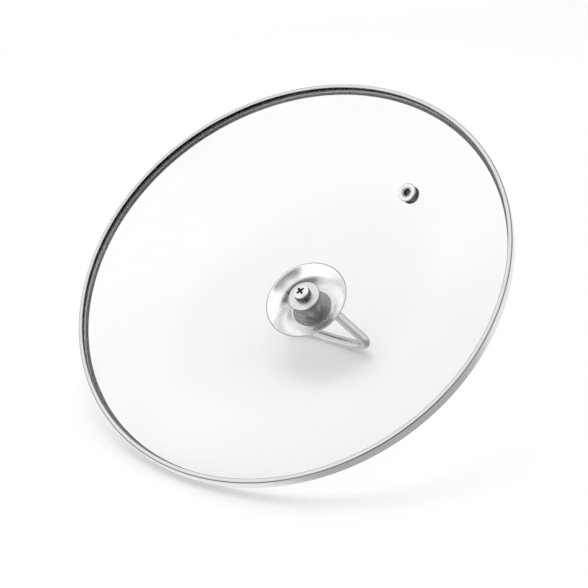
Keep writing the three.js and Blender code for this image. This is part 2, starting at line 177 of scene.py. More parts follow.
def room_light(tree, lobes, plain):
    """The light of the room by direction: plain, with soft round lobes laid over it."""
    looking = tree.nodes.new("ShaderNodeTexCoord").outputs["Generated"]
    light = None
    for (right, up, back), full, end, value in lobes:
        dot = tree.nodes.new("ShaderNodeVectorMath")
        dot.operation = "DOT_PRODUCT"
        middle = camera_right * right + camera_up * up + camera_back * back
        dot.inputs[1].default_value = middle.normalized()
        tree.links.new(looking, dot.inputs[0])
        mask = tree.nodes.new("ShaderNodeMapRange")
        mask.interpolation_type = "SMOOTHSTEP"
        mask.inputs["From Min"].default_value = math.cos(math.radians(end))
        mask.inputs["From Max"].default_value = math.cos(math.radians(full))
        tree.links.new(dot.outputs["Value"], mask.inputs["Value"])
        mix = tree.nodes.new("ShaderNodeMix")
        mix.inputs["A"].default_value = plain
        mix.inputs["B"].default_value = value
        tree.links.new(mask.outputs["Result"], mix.inputs["Factor"])
        if light is not None:
            tree.links.new(light, mix.inputs["A"])
        light = mix.outputs["Result"]
    return light


def studio_world():
    world = bpy.data.worlds.new("studio")
    bpy.context.scene.world = world
    world.use_nodes = True
    tree = world.node_tree
    tree.nodes.clear()
    output = tree.nodes.new("ShaderNodeOutputWorld")
    background = tree.nodes.new("ShaderNodeBackground")
    path = tree.nodes.new("ShaderNodeLightPath").outputs
    # The steel meets the lobes. The camera and the paint of the floor meet the plain white room.
    steel_light = tree.nodes.new("ShaderNodeMix")
    steel_light.clamp_factor = True
    tree.links.new(path["Transmission Depth"], steel_light.inputs["Factor"])
    tree.links.new(room_light(tree, FRONT_LOBES, ROOM_WHITE), steel_light.inputs["A"])
    tree.links.new(room_light(tree, BACK_LOBES, MIRRORED_WHITE), steel_light.inputs["B"])
    light = tree.nodes.new("ShaderNodeMix")
    light.clamp_factor = True
    tree.links.new(path["Glossy Depth"], light.inputs["Factor"])
    light.inputs["A"].default_value = ROOM_WHITE
    tree.links.new(steel_light.outputs["Result"], light.inputs["B"])
    tree.links.new(light.outputs["Result"], background.inputs["Color"])
    tree.links.new(background.outputs[0], output.inputs["Surface"])


studio_world()
lamp_place = (lean_normal - camera_right * LAMP_LEFT + camera_up * LAMP_RAISED).normalized()
lamp_data = bpy.data.lights.new("soft_lamp", "AREA")
lamp_data.shape = "DISK"
lamp_data.size = LAMP_SIZE
lamp_data.energy = LAMP_POWER
lamp = bpy.data.objects.new("soft_lamp", lamp_data)
lamp.location = lamp_place * LAMP_DISTANCE
lamp.rotation_mode = "QUATERNION"
lamp.rotation_quaternion = lamp_place.to_track_quat("Z", "Y")
lamp.visible_glossy = False
lamp.visible_transmission = False
lamp.visible_camera = False
bpy.context.scene.collection.objects.link(lamp)


# ---- Domed glass ----
# Tempered clear glass, 4 mm thick, sagged over a mould to a shallow dome and ground round at its edge,
# with one hole for the screw and one for the steam eyelet.
GLASS_THICKNESS = 4.0 * MM
DOME_HEIGHT = 34.0 * MM  # pan seat to the underside of the glass, on the axis
EDGE_HEIGHT = 1.0 * MM  # pan seat to the underside of the glass, at its edge
EDGE_ROUND = 0.9 * MM
CENTRE_HOLE = 9.0 * MM
VENT_HOLE = 8.4 * MM
RIM_SEGMENTS = 256
GLASS_TINT = (0.935, 0.935, 0.935, 1)

glass_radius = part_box("glass_pane")[1].x
inner_sphere = (glass_radius**2 + (DOME_HEIGHT - EDGE_HEIGHT) ** 2) / (2 * (DOME_HEIGHT - EDGE_HEIGHT))
outer_sphere = inner_sphere + GLASS_THICKNESS
sphere_height = DOME_HEIGHT - inner_sphere
collar_low, collar_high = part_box("vent_collar")
collar_middle = (collar_low + collar_high) / 2
vent_axis = (collar_middle - Vector((0, 0, sphere_height))).normalized()
# Places a vent piece: its own height 0 is on the underside of the glass, square to it.
vent_place = Matrix.Translation(Vector((0, 0, sphere_height)) + vent_axis * inner_sphere) @ (
    Vector((0, 0, 1)).rotation_difference(vent_axis).to_matrix().to_4x4()
)


def arc(start, end, centre, steps):
    """Points from start to end, round a centre, the short way."""
    from_angle = math.atan2(start.y - centre.y, start.x - centre.x)
    sweep = math.atan2(end.y - centre.y, end.x - centre.x) - from_angle
    sweep = (sweep + math.pi) % (2 * math.pi) - math.pi
    radius = (start - centre).length
    angles = [from_angle + sweep * step / steps for step in range(steps + 1)]
    return [centre + Vector((math.cos(angle), math.sin(angle))) * radius for angle in angles]


def outline(corners, steps=5, closed=True):
    """Section points (radius, height). Each corner is (radius, height, fillet), or has no fillet."""
    points = []
    for index, corner in enumerate(corners):
        here = Vector(corner[:2])
        fillet = corner[2] if len(corner) == 3 else 0
        if fillet == 0 or (not closed and index in (0, len(corners) - 1)):
            points.append(here)
            continue
        back = (Vector(corners[index - 1][:2]) - here).normalized()
        ahead = (Vector(corners[(index + 1) % len(corners)][:2]) - here).normalized()
        half = back.angle(ahead) / 2
        centre = here + (back + ahead).normalized() * fillet / math.sin(half)
        reach = fillet / math.tan(half)
        points += arc(here + back * reach, here + ahead * reach, centre, steps)
    return points


def add_object(name, form):
    mesh = bpy.data.meshes.new(name)
    bmesh.ops.recalc_face_normals(form, faces=form.faces)
    form.to_mesh(mesh)
    form.free()
    thing = bpy.data.objects.new(name, mesh)
    bpy.context.scene.collection.objects.link(thing)
    return thing


def turned(name, section, segments, closed=True, place=Matrix.Identity(4)):
    """A section turned about the Z axis. An open section starts and ends on the axis."""
    form = bmesh.new()
    rings = []
    for point in section:
        if point.x < 1e-7:
            rings.append([form.verts.new(place @ Vector((0, 0, point.y)))] * segments)
            continue
        turns = [2 * math.pi * step / segments for step in range(segments)]
        rings.append([
            form.verts.new(place @ Vector((point.x * math.cos(turn), point.x * math.sin(turn), point.y)))
            for turn in turns
        ])
    pairs = list(zip(rings, rings[1:] + rings[:1])) if closed else list(zip(rings, rings[1:]))
    for inner, outer in pairs:
        for step in range(segments):
            after = (step + 1) % segments
            corners = dict.fromkeys((inner[step], outer[step], outer[after], inner[after]))
            if len(corners) > 2:
                form.faces.new(corners)
    return add_object(name, form)


def smooth(piece, sharp_angle=math.radians(35)):
    piece.data.shade_smooth()
    piece.data.set_sharp_from_angle(angle=sharp_angle)


def cut(piece, *cutters):
    """Cuts each cutter out of the piece and removes the cutter."""
    for cutter in cutters:
        boolean = piece.modifiers.new("cut", "BOOLEAN")
        boolean.operation = "DIFFERENCE"
        boolean.solver = "EXACT"
        boolean.object = cutter
        bpy.context.view_layer.objects.active = piece
        bpy.ops.object.modifier_apply(modifier="cut")
        bpy.data.objects.remove(cutter)


def fit(piece, node, material):
    """Gives the piece its finish and lets it stand for its CAD node."""
    piece.data.materials.clear()
    piece.data.materials.append(material)
    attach(piece, "root")
    if node:
        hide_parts(node)


def node_group(name, inputs, outputs):
    """An empty shader node group. Inputs are (name, default) numbers, outputs (name, socket type)."""
    tree = bpy.data.node_groups.new(name, "ShaderNodeTree")
    for label, value in inputs:
        socket = tree.interface.new_socket(name=label, in_out="INPUT", socket_type="NodeSocketFloat")
        socket.default_value = value
    for label, kind in outputs:
        tree.interface.new_socket(name=label, in_out="OUTPUT", socket_type=kind)
    return tree, tree.nodes.new("NodeGroupInput").outputs, tree.nodes.new("NodeGroupOutput").inputs


def math_node(tree, operation, *values):
    node = tree.nodes.new("ShaderNodeMath")
    node.operation = operation
    for socket, value in zip(node.inputs, values):
        if isinstance(value, (int, float)):
            socket.default_value = value
        else:
            tree.links.new(value, socket)
    return node.outputs[0]


def noise(tree, vector, scale, detail=3.0):
    node = tree.nodes.new("ShaderNodeTexNoise")
    node.inputs["Detail"].default_value = detail
    for label, value in (("Vector", vector), ("Scale", scale)):
        if isinstance(value, (int, float)):
            node.inputs[label].default_value = value
        else:
            tree.links.new(value, node.inputs[label])
    return node.outputs["Fac"]


def ramp(tree, value, low, high, out_low=0.0, out_high=1.0):
    node = tree.nodes.new("ShaderNodeMapRange")
    node.interpolation_type = "SMOOTHSTEP"
    settings = (("From Min", low), ("From Max", high), ("To Min", out_low), ("To Max", out_high))
    for label, setting in settings:
        if isinstance(setting, (int, float)):
            node.inputs[label].default_value = setting
        else:
            tree.links.new(setting, node.inputs[label])
    tree.links.new(value, node.inputs["Value"])
    return node.outputs["Result"]


def smudge_group():
    """Faint wiping marks and finger marks: patches that come and go, broken up by a finer pattern."""
    tree, given, made = node_group(
        "smudges", [("Patch Size", 0.03), ("Cover", 0.4)], [("Mask", "NodeSocketFloat")]
    )
    place = tree.nodes.new("ShaderNodeTexCoord").outputs["Object"]
    scale = math_node(tree, "DIVIDE", 1.0, given["Patch Size"])
    patches = noise(tree, place, scale, 2.0)
    edge = math_node(tree, "SUBTRACT", 0.75, math_node(tree, "MULTIPLY", given["Cover"], 0.5))
    patches = ramp(tree, patches, edge, math_node(tree, "ADD", edge, 0.15))
    streaks = noise(tree, place, math_node(tree, "MULTIPLY", scale, 9.0), 4.0)
    tree.links.new(math_node(tree, "MULTIPLY", patches, streaks), made["Mask"])
    return tree


def use_group(tree, group, **values):
    """Places a node group in a material. A keyword's underscore stands for a space."""
    node = tree.nodes.new("ShaderNodeGroup")
    node.node_tree = group
    for label, value in values.items():
        node.inputs[label.replace("_", " ")].default_value = value
    return node.outputs


def principled(material, **values):
    """The material's tree and its Principled shader, with the given sockets set."""
    tree, output = tree_of(material)
    shader = tree.nodes.new("ShaderNodeBsdfPrincipled")
    for label, value in values.items():
        shader.inputs[label.replace("_", " ")].default_value = value
    tree.links.new(shader.outputs[0], output.inputs["Surface"])
    return tree, shader


def bump(tree, shader, height, distance, strength=1.0):
    node = tree.nodes.new("ShaderNodeBump")
    node.inputs["Strength"].default_value = strength
    node.inputs["Distance"].default_value = distance
    tree.links.new(height, node.inputs["Height"])
    tree.links.new(node.outputs[0], shader.inputs["Normal"])


smudges = smudge_group()


def glass_material():
    material = bpy.data.materials.new("tempered_glass")
    tree, shader = principled(
        material, Base_Color=GLASS_TINT, Metallic=0.0, Transmission_Weight=1.0, IOR=1.5
    )
    wiped = use_group(tree, smudges, Patch_Size=0.035, Cover=0.5)["Mask"]
    tree.links.new(ramp(tree, wiped, 0.0, 1.0, 0.0, 0.02), shader.inputs["Roughness"])
    # The rollers of the tempering oven leave the surface very slightly wavy.
    place = tree.nodes.new("ShaderNodeTexCoord").outputs["Object"]
    bump(tree, shader, noise(tree, place, 45.0, 1.0), 0.02 * MM)
    return material


def dome_arc(sphere, from_radius, steps):
    """Section of a sphere from the given radius out to the edge, without its last point."""
    start = math.asin(from_radius / sphere)
    sweep = math.asin(glass_radius / sphere) - start
    angles = [start + sweep * step / steps for step in range(steps)]
    return [(sphere * math.sin(angle), sphere_height + sphere * math.cos(angle)) for angle in angles]


def domed_glass():
    edge_top = sphere_height + math.sqrt(outer_sphere**2 - glass_radius**2)
    section = outline([
        *dome_arc(inner_sphere, CENTRE_HOLE / 2, 40),
        (glass_radius, EDGE_HEIGHT, EDGE_ROUND),
        (glass_radius, edge_top, EDGE_ROUND),
        *reversed(dome_arc(outer_sphere, CENTRE_HOLE / 2, 40)),
    ])
    glass = turned("domed_glass", section, RIM_SEGMENTS)
    reach = VENT_HOLE / 2
    drill = outline([(0, -reach), (reach, -reach), (reach, 3 * reach), (0, 3 * reach)])
    cut(glass, turned("drill", drill, 64, closed=False, place=vent_place))
    smooth(glass)
    return glass


glass = domed_glass()
# Clear glass dims nothing here: the lamp's light and the floor's pass through it.
glass.visible_shadow = False
glass.visible_diffuse = False
fit(glass, "glass_pane", glass_material())


# ---- Rolled rim ----
# One strip of bright stainless, rolled into a C round the edge of the glass. The narrow lower flange is
# the seat on the pan, and the upper one is pressed down on the glass.
BAND_SHEET = 0.7 * MM
SEAT_WIDTH = 2.6 * MM
TOP_WIDTH = 3.2 * MM
SEAT_CORNER = 0.9 * MM
SHOULDER = 1.4 * MM
HEM = 0.2 * MM
BAND_COLOUR = (0.78, 0.782, 0.785, 1)
# Painted shade inside the rolled channel, where little light gets in.
CHANNEL_SHADE_COLOUR = (0.2, 0.2, 0.2, 1)
SEAT_EDGE_SHADE_COLOUR = (0.22, 0.22, 0.22, 1)  # painted shade on the bend and the tip of the seat
LINES_SHADE = 0.35  # how much the turned lines and the smudges darken steel
SMUDGE_SHADE = 0.5
DARKEST_SHARE = 0.86


def round_axis(tree):
    """Distance from the Z axis, angle round it and height, at the shaded point."""
    split = tree.nodes.new("ShaderNodeSeparateXYZ")
    tree.links.new(tree.nodes.new("ShaderNodeTexCoord").outputs["Object"], split.inputs[0])
    x, y, z = split.outputs
    squared = math_node(tree, "ADD", math_node(tree, "MULTIPLY", x, x), math_node(tree, "MULTIPLY", y, y))
    return math_node(tree, "SQRT", squared), math_node(tree, "ARCTAN2", y, x), z


def turning_group():
    """Fine lines that run round the Z axis, as rolling and polishing wheels leave them."""
    tree, given, made = node_group(
        "turning_lines", [("Spacing", 0.0004), ("Wander", 1.5)], [("Lines", "NodeSocketFloat")]
    )
    radius, angle, z = round_axis(tree)
    # The angle goes round as a sine and a cosine, so that the lines have no seam.
    wander = given["Wander"]
    around = tree.nodes.new("ShaderNodeCombineXYZ")
    across = math_node(tree, "DIVIDE", math_node(tree, "ADD", radius, z), given["Spacing"])
    tree.links.new(across, around.inputs[0])
    tree.links.new(math_node(tree, "MULTIPLY", math_node(tree, "SINE", angle), wander), around.inputs[1])
    tree.links.new(math_node(tree, "MULTIPLY", math_node(tree, "COSINE", angle), wander), around.inputs[2])
    tree.links.new(noise(tree, around.outputs[0], 1.0, 4.0), made["Lines"])
    return tree


def scratch_group():
    """Hairline scratches in two directions, few and faint."""
    tree, given, made = node_group("hairlines", [("Length", 0.012)], [("Mask", "NodeSocketFloat")])
    place = tree.nodes.new("ShaderNodeTexCoord").outputs["Object"]
    masks = []
    for turn, thin in ((0.5, 40.0), (-0.9, 55.0)):
        lay = tree.nodes.new("ShaderNodeMapping")
        lay.inputs["Rotation"].default_value = (turn, turn * 0.7, turn)
        lay.inputs["Scale"].default_value = (1.0, thin, thin)
        tree.links.new(place, lay.inputs["Vector"])
        lines = noise(tree, lay.outputs[0], math_node(tree, "DIVIDE", 1.0, given["Length"]), 1.0)
        masks.append(ramp(tree, lines, 0.68, 0.74))
    tree.links.new(math_node(tree, "MAXIMUM", *masks), made["Mask"])
    return tree


turning_lines = turning_group()
hairlines = scratch_group()


def shaded(tree, colour, value, darkest):
    """The colour, taken down towards the darkest share of itself where the value is high."""
    mix = tree.nodes.new("ShaderNodeMix")
    mix.data_type = "RGBA"
    mix.inputs["A"].default_value = colour
    mix.inputs["B"].default_value = (*[part * darkest for part in colour[:3]], 1)
    tree.links.new(value, mix.inputs["Factor"])
    return mix.outputs["Result"]


def steel_material(name, colour, gloss, spacing, lines_depth, smudged=0.06):
    """Stainless steel: turned lines, hairlines and smudges over a plain metal."""
    material = bpy.data.materials.new(name)
    tree, shader = principled(material, Metallic=1.0)
    lines = use_group(tree, turning_lines, Spacing=spacing)["Lines"]
    scratch = use_group(tree, hairlines)["Mask"]
    wiped = use_group(tree, smudges, Patch_Size=0.012, Cover=0.45)["Mask"]
    uneven = math_node(tree, "MULTIPLY", lines, LINES_SHADE)
    uneven = math_node(tree, "ADD", uneven, math_node(tree, "MULTIPLY", wiped, SMUDGE_SHADE))
    tree.links.new(shaded(tree, colour, uneven, DARKEST_SHARE), shader.inputs["Base Color"])
    rough = math_node(tree, "ADD", gloss, math_node(tree, "MULTIPLY", wiped, smudged))
    rough = math_node(tree, "ADD", rough, math_node(tree, "MULTIPLY", lines, gloss * 0.4))
    rough = math_node(tree, "ADD", rough, math_node(tree, "MULTIPLY", scratch, 0.1))
    tree.links.new(rough, shader.inputs["Roughness"])
    relief = math_node(tree, "SUBTRACT", lines, math_node(tree, "MULTIPLY", scratch, 0.6))
    bump(tree, shader, relief, lines_depth)
    return material


def rolled_rim():
    radius = rim_high.x
    top = rim_high.z
    section = outline([
        (radius - SEAT_WIDTH, 0, HEM),
        (radius, 0, SEAT_CORNER),
        (radius, top, SHOULDER),
        (radius - TOP_WIDTH, top, HEM),
        (radius - TOP_WIDTH, top - BAND_SHEET, HEM),
        (radius - BAND_SHEET, top - BAND_SHEET, SHOULDER - BAND_SHEET),
        (radius - BAND_SHEET, BAND_SHEET, SEAT_CORNER - BAND_SHEET),
        (radius - SEAT_WIDTH, BAND_SHEET, HEM),
    ], steps=6)
    rim = turned("rolled_rim", section, RIM_SEGMENTS)
    smooth(rim)
    return rim


def channel_shade_group():
    """Masks of painted shade, the same all round: the inside of the rolled channel, and the bend and tip of
    the seat.
    """
    tree, given, made = node_group(
        "channel_painted_shade",
        [("Outer Radius", 0.13), ("Top", 0.006)],
        [("Inside", "NodeSocketFloat"), ("Edges", "NodeSocketFloat")],
    )
    radius, _, z = round_axis(tree)
    inset = math_node(tree, "SUBTRACT", given["Outer Radius"], radius)
    near, full = BAND_SHEET * 0.6, BAND_SHEET * 0.9
    # Painted shade inside the channel.
    inside = ramp(tree, inset, near, full)
    above = ramp(tree, z, near, full)
    below = ramp(tree, math_node(tree, "SUBTRACT", given["Top"], z), near, full)
    inside = math_node(tree, "MULTIPLY", inside, math_node(tree, "MULTIPLY", above, below))
    tree.links.new(inside, made["Inside"])
    # Painted shade on the bend and the tip of the seat.
    bend = ramp(tree, math_node(tree, "ADD", inset, z), SEAT_CORNER * 0.6, SEAT_CORNER * 0.9, 1.0, 0.0)
    tip = ramp(tree, inset, SEAT_WIDTH - 0.4 * MM, SEAT_WIDTH - 0.1 * MM)
    tip = math_node(tree, "MULTIPLY", tip, math_node(tree, "LESS_THAN", z, BAND_SHEET))
    tree.links.new(math_node(tree, "MAXIMUM", bend, tip), made["Edges"])
    return tree


def stain_or_shade(material, mask, colour):
    """Lays a plain colour over the steel of the material where the mask is high: a real stain such as a weld
    mark, or painted shade.
    """
    tree = material.node_tree
    shader = next(node for node in tree.nodes if node.type == "BSDF_PRINCIPLED")
    mix = tree.nodes.new("ShaderNodeMix")
    mix.data_type = "RGBA"
    tree.links.new(shader.inputs["Base Color"].links[0].from_socket, mix.inputs["A"])
    mix.inputs["B"].default_value = colour
    tree.links.new(mask, mix.inputs["Factor"])
    tree.links.new(mix.outputs["Result"], shader.inputs["Base Color"])


# Painted shade inside the channel and on the bend and tip of the seat.
rolled_steel = steel_material("rolled_steel", BAND_COLOUR, 0.1, 0.5 * MM, 0.01 * MM)
channel = use_group(rolled_steel.node_tree, channel_shade_group(), Outer_Radius=rim_high.x, Top=rim_high.z)
stain_or_shade(rolled_steel, channel["Inside"], CHANNEL_SHADE_COLOUR)
stain_or_shade(rolled_steel, channel["Edges"], SEAT_EDGE_SHADE_COLOUR)
fit(rolled_rim(), "rim_band", rolled_steel)


# ---- Polished dish ----
# A bell stamped from thin stainless and polished bright. Its edge stands on the glass, its flat floor
# carries the boss, and the loop is welded to its outside.
DISH_SHEET = 0.8 * MM
DISH_FLOOR = 25.6 * MM
DISH_FLOOR_ROUND = 1.2 * MM
DISH_WALL_BOW = math.radians(9.5)  # half the wall's bend, which is steeper at the floor
DISH_COLOUR = (0.90, 0.90, 0.895, 1)
MARK_PLACES = tuple((x * MM, y * MM) for x in (-17.0, 17.0) for y in (-3.3, 2.3))
MARK_COLOUR = (0.05, 0.045, 0.04, 1)
HALO_COLOUR = (0.40, 0.38, 0.36, 1)
HUB_SEGMENTS = 128

dish_low, dish_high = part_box("handle_dish")
dish_radius = dish_high.x
dish_inside = dish_high.z - DISH_SHEET
dish_depth = dish_inside - dish_low.z
wall_inset = dish_radius - DISH_SHEET - DISH_FLOOR / 2
wall_slope = math.atan2(dish_depth, wall_inset)
wall_arc = math.hypot(dish_depth, wall_inset) / (2 * math.sin(DISH_WALL_BOW))
edge_slope = wall_slope - DISH_WALL_BOW
floor_slope = wall_slope + DISH_WALL_BOW
wall_centre = Vector((dish_radius - DISH_SHEET, dish_low.z)) + (
    Vector((math.sin(edge_slope), math.cos(edge_slope))) * wall_arc
)


def dish_shell(distance, steps=30):
    """Corners of the wall and floor, moved outwards square to themselves, from the edge to the axis."""
    corners = []
    for step in range(steps):
        slope = edge_slope + (floor_slope - edge_slope) * step / steps
        outwards = Vector((math.sin(slope), math.cos(slope)))
        corners.append(tuple(wall_centre + outwards * (distance - wall_arc)))
    height = dish_inside + distance
    turn_in = DISH_FLOOR / 2 + distance * math.tan(floor_slope / 2)
    # The last points of the wall would be inside the bend.
    return [*corners[:-2], (turn_in, height, DISH_FLOOR_ROUND + distance), (0, height)]


def polished_dish():
    edge = (dish_radius, dish_low.z)
    section = outline([*reversed(dish_shell(0)), edge, *dish_shell(DISH_SHEET)], closed=False)
    dish = turned("polished_dish", section, HUB_SEGMENTS, closed=False)
    smooth(dish)
    return dish


def weld_mark_group():
    """Dark spots with a grey halo round each, in the wall of the dish where the loop is welded behind it."""
    tree, given, made = node_group(
        "weld_marks",
        [("Spot Size", 0.0006), ("Halo Size", 0.0022)],
        [("Spots", "NodeSocketFloat"), ("Halos", "NodeSocketFloat")],
    )
    flat = tree.nodes.new("ShaderNodeVectorMath")
    flat.operation = "MULTIPLY"
    flat.inputs[1].default_value = (1, 1, 0)
    tree.links.new(tree.nodes.new("ShaderNodeTexCoord").outputs["Object"], flat.inputs[0])
    nearest = 1.0
    for x, y in MARK_PLACES:
        reach = tree.nodes.new("ShaderNodeVectorMath")
        reach.operation = "DISTANCE"
        reach.inputs[1].default_value = (x, y, 0)
        tree.links.new(flat.outputs["Vector"], reach.inputs[0])
        nearest = math_node(tree, "MINIMUM", nearest, reach.outputs["Value"])
    spots = ramp(tree, math_node(tree, "DIVIDE", nearest, given["Spot Size"]), 0.6, 1.2, 1.0, 0.0)
    halos = ramp(tree, math_node(tree, "DIVIDE", nearest, given["Halo Size"]), 0.2, 1.0, 0.35, 0.0)
    tree.links.new(spots, made["Spots"])
    tree.links.new(halos, made["Halos"])
    return tree


polished_steel = steel_material("polished_steel", DISH_COLOUR, 0.17, 0.7 * MM, 0.002 * MM, 0.03)
weld_marks = use_group(polished_steel.node_tree, weld_mark_group())
stain_or_shade(polished_steel, weld_marks["Halos"], HALO_COLOUR)
stain_or_shade(polished_steel, weld_marks["Spots"], MARK_COLOUR)
fit(polished_dish(), "handle_dish", polished_steel)


# ---- Threaded boss ----
# A turned steel boss with a flange, welded to the middle of the dish floor. The screw ends in it.
BOSS_DIAMETER = 7.8 * MM
BOSS_FLANGE = 1.4 * MM
BOSS_BORE = 5.5 * MM
BOSS_ROUND = 0.5 * MM
# Painted shade: the boss is coloured darker than the other turned steel, for the shade it stands in.
SHADED_BOSS_COLOUR = (0.26, 0.26, 0.26, 1)


def threaded_boss():
    low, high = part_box("dish_boss")
    section = outline([
        (BOSS_BORE / 2, low.z, HEM),
        (BOSS_DIAMETER / 2, low.z, BOSS_ROUND),
        (BOSS_DIAMETER / 2, high.z - BOSS_FLANGE, BOSS_ROUND),
        (high.x, high.z - BOSS_FLANGE, BOSS_ROUND),
        (high.x, high.z),
        (BOSS_BORE / 2, high.z),
    ])
    boss = turned("threaded_boss", section, HUB_SEGMENTS)
    smooth(boss)
    return boss


FASTENER_COLOUR = (0.93, 0.93, 0.925, 1)
turned_steel = steel_material("turned_steel", FASTENER_COLOUR, 0.3, 0.25 * MM, 0.008 * MM)
# Darker turned steel for the boss, as painted shade.
shaded_boss_steel = steel_material("shaded_boss_steel", SHADED_BOSS_COLOUR, 0.22, 0.25 * MM, 0.008 * MM)
fit(threaded_boss(), "dish_boss", shaded_boss_steel)


# ---- Loop handle ----
# One polished stainless rod, bent to a bowed top bar with two legs that lean outwards. Each leg is
# shaped to the dish and welded on all round.
ROD_DIAMETER = 6.0 * MM
BAR_RADIUS = 76.0 * MM
BEND_RADIUS = 10.2 * MM
FOOT_SPACING = 31.8 * MM
LEG_FLARE = math.radians(20.7)
FOOT_SHARE = 1 / 3  # where the legs are FOOT_SPACING apart, as a share of the dish's depth
ROD_SIDES = 32
WELD_SIZE = 0.8 * MM
ROD_COLOUR = (0.46, 0.46, 0.46, 1)


def loop_line():
    """Points and directions of the rod's middle, from the top of the bar down to the foot, for +X."""
    bar_centre = Vector((0, loop_top - ROD_DIAMETER / 2 - BAR_RADIUS))
    foot = Vector((FOOT_SPACING / 2, dish_low.z + FOOT_SHARE * dish_depth))
    up_leg = Vector((math.sin(LEG_FLARE), math.cos(LEG_FLARE)))
    inwards = Vector((-up_leg.y, up_leg.x))
    # The bend touches the leg and the inside of the bar's circle.
    from_bar = foot + inwards * BEND_RADIUS - bar_centre
    along = from_bar.dot(up_leg)
    reach = BAR_RADIUS - BEND_RADIUS
    leg = -along + math.sqrt(along**2 - from_bar.length_squared + reach**2)
    bend_centre = foot + inwards * BEND_RADIUS + up_leg * leg
    bar_end = bend_centre - bar_centre
    bar_angle = math.atan2(bar_end.x, bar_end.y)
    leg_angle = math.pi / 2 + LEG_FLARE
    line = []
    for centre, radius, start, end, steps in (
        (bar_centre, BAR_RADIUS, 0.0, bar_angle, 24),
        (bend_centre, BEND_RADIUS, bar_angle, leg_angle, 28),
    ):
        for step in range(steps):
            angle = start + (end - start) * step / steps
            line.append((centre + Vector((math.sin(angle), math.cos(angle))) * radius, angle))
    leg_top = bend_centre - inwards * BEND_RADIUS
    line += [(leg_top - up_leg * leg * step / 8, leg_angle) for step in range(7)]
    return line, foot, up_leg


def dish_top(radius):
    """Height of the outside of the dish at a radius."""
    wall = outline(dish_shell(DISH_SHEET), closed=False)
    for outer, inner in zip(wall, wall[1:]):
        if outer.x >= radius >= inner.x:
            share = (outer.x - radius) / max(outer.x - inner.x, 1e-9)
            return outer.y + (inner.y - outer.y) * share
    return dish_low.z


def foot_point(around, foot, up_leg, sink):
    """Where one side line of the leg meets the outside of the dish."""
    inwards = Vector((-up_leg.y, up_leg.x))
    radial = inwards * math.cos(around) * ROD_DIAMETER / 2
    start = Vector((foot.x + radial.x, math.sin(around) * ROD_DIAMETER / 2, foot.y + radial.y))
    low, high = -12 * MM, 25 * MM
    for _ in range(40):
        middle = (low + high) / 2
        point = start + Vector((up_leg.x, 0, up_leg.y)) * middle
        if point.z > dish_top(math.hypot(point.x, point.y)) - sink:
            high = middle
        else:
            low = middle
    return start + Vector((up_leg.x, 0, up_leg.y)) * high


def bent_loop():
    line, foot, up_leg = loop_line()
    turns = [2 * math.pi * side / ROD_SIDES for side in range(ROD_SIDES)]
    half = []
    for point, angle in line:
        # The side at angle 0 faces the inside of the bend.
        inwards = Vector((-math.sin(angle), -math.cos(angle)))
        half.append([
            Vector((
                point.x + inwards.x * math.cos(turn) * ROD_DIAMETER / 2,
                math.sin(turn) * ROD_DIAMETER / 2,
                point.y + inwards.y * math.cos(turn) * ROD_DIAMETER / 2,
            ))
            for turn in turns
        ])
    half.append([foot_point(turn, foot, up_leg, 0.4 * DISH_SHEET) for turn in turns])
    mirrored = [[Vector((-point.x, point.y, point.z)) for point in ring] for ring in half[:0:-1]]
    form = bmesh.new()
    rings = [[form.verts.new(point) for point in ring] for ring in mirrored + half]
    for before, after in zip(rings, rings[1:]):
        for side in range(ROD_SIDES):
            other = (side + 1) % ROD_SIDES
            form.faces.new((before[side], before[other], after[other], after[side]))
    for end in (rings[0], rings[-1]):
        middle = form.verts.new(sum((vert.co for vert in end), Vector()) / ROD_SIDES)
        for side in range(ROD_SIDES):
            form.faces.new((middle, end[side], end[(side + 1) % ROD_SIDES]))
    rod = add_object("bent_loop", form)
    smooth(rod, math.radians(50))
    return rod


def weld_bead(name, side):
    """A ring of weld metal round one foot, with the ripples of its passes."""
    _, foot, up_leg = loop_line()
    count, sides = 96, 10
    path = [foot_point(2 * math.pi * step / count, foot, up_leg, -WELD_SIZE / 3) for step in range(count)]
    middle = sum(path, Vector()) / count
    form = bmesh.new()
    rings = []
    for step, point in enumerate(path):
        run = (path[(step + 1) % count] - path[step - 1]).normalized()
        out = (point - middle - run * (point - middle).dot(run)).normalized()
        up = run.cross(out)
        size = WELD_SIZE * (1 + 0.12 * math.sin(step * math.pi / 3))
        turns = [2 * math.pi * turn / sides for turn in range(sides)]
        ring = [point + (out * math.cos(turn) + up * math.sin(turn)) * size for turn in turns]
        rings.append([form.verts.new(Vector((side * p.x, p.y, p.z))) for p in ring])
    for before, after in zip(rings, rings[1:] + rings[:1]):
        for turn in range(sides):
            other = (turn + 1) % sides
            form.faces.new((before[turn], before[other], after[other], after[turn]))
    bead = add_object(name, form)
    smooth(bead, math.radians(60))
    return bead


rod_steel = steel_material("rod_steel", ROD_COLOUR, 0.06, 0.6 * MM, 0.003 * MM)
fit(bent_loop(), "handle_loop", rod_steel)
for bead_name, bead_side in (("left_weld", -1), ("right_weld", 1)):
    fit(weld_bead(bead_name, bead_side), None, turned_steel)


# ---- Gaskets ----
# Two dark grey silicone rings, one on each side of the glass. The lower one has a sleeve that keeps the
# screw off the edge of the hole.
GASKET_THICKNESS = 1.6 * MM
GASKET_ROUND = 0.4 * MM
SLEEVE_DIAMETER = 8.4 * MM
GASKET_COLOUR = (0.2, 0.2, 0.202, 1)
GROMMET_COLOUR = (0.03, 0.03, 0.03, 1)


def silicone_material(name, colour):
    material = bpy.data.materials.new(name)
    tree, shader = principled(material)
    place = tree.nodes.new("ShaderNodeTexCoord").outputs["Object"]
    grain = noise(tree, place, 2600.0, 4.0)
    dust = use_group(tree, smudges, Patch_Size=0.004, Cover=0.7)["Mask"]
    tree.links.new(shaded(tree, colour, dust, 2.2), shader.inputs["Base Color"])
    tree.links.new(ramp(tree, grain, 0.2, 0.8, 0.38, 0.55), shader.inputs["Roughness"])
    bump(tree, shader, grain, 0.02 * MM)
    return material


